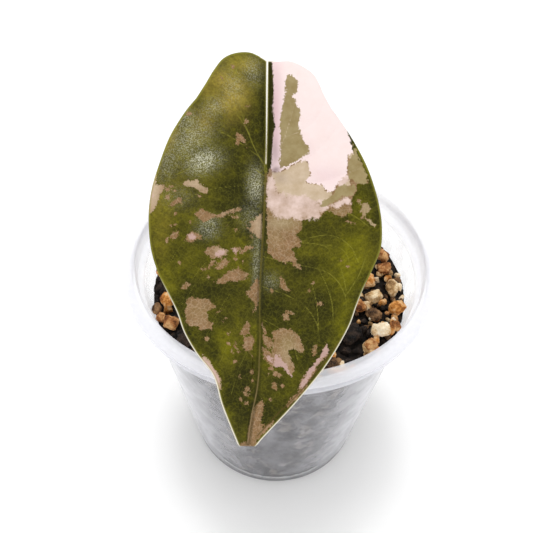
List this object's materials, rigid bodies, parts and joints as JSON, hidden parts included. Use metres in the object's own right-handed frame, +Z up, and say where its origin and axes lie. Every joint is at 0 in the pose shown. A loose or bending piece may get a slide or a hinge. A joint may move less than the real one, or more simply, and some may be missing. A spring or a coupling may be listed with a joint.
{
  "type": "potted alocasia",
  "caption": "Young variegated aroid: a shield-shaped leaf on an arching stalk, rooted in chunky mix in a round tapered clear nursery cup with a rolled lip.",
  "frame": {"origin": "middle of the cup's flat underside, on the cup's axis", "axes": "+Z up along the cup's axis; -Y towards the viewer, the way the leaf leans; +X to the viewer's right"},
  "size_m": [0.09, 0.1107, 0.1536],
  "materials": {
    "cup_plastic": "satin",
    "potting_mix": "matte",
    "corm_skin": "matte",
    "root": "matte",
    "stalk": "satin",
    "sheath": "matte",
    "leaf": "satin",
    "pumice": "matte",
    "bark": "matte"
  },
  "bodies": {
    "root": {"bark_01": "bark", "bark_02": "bark", "bark_03": "bark", "bark_04": "bark", "bark_05": "bark", "bark_06": "bark", "bark_07": "bark", "bark_08": "bark", "bark_09": "bark", "bark_10": "bark", "bark_11": "bark", "bark_12": "bark", "bark_13": "bark", "bark_14": "bark", "corm": "corm_skin", "cup": "cup_plastic", "leaf_blade": "leaf", "petiole": "stalk", "petiole_sheath": "sheath", "potting_mix": "potting_mix", "pumice_01": "pumice", "pumice_02": "pumice", "pumice_03": "pumice", "pumice_04": "pumice", "pumice_05": "pumice", "pumice_06": "pumice", "pumice_07": "pumice", "pumice_08": "pumice", "pumice_09": "pumice", "pumice_10": "pumice", "pumice_11": "pumice", "pumice_12": "pumice", "pumice_13": "pumice", "pumice_14": "pumice", "pumice_15": "pumice", "pumice_16": "pumice", "pumice_17": "pumice", "pumice_18": "pumice", "pumice_19": "pumice", "pumice_20": "pumice", "pumice_21": "pumice", "pumice_22": "pumice", "pumice_23": "pumice", "pumice_24": "pumice", "pumice_25": "pumice", "pumice_26": "pumice", "pumice_27": "pumice", "pumice_28": "pumice", "pumice_29": "pumice", "pumice_30": "pumice", "root_1": "root", "root_2": "root", "root_3": "root", "root_4": "root", "root_5": "root"}
  },
  "joints": []
}
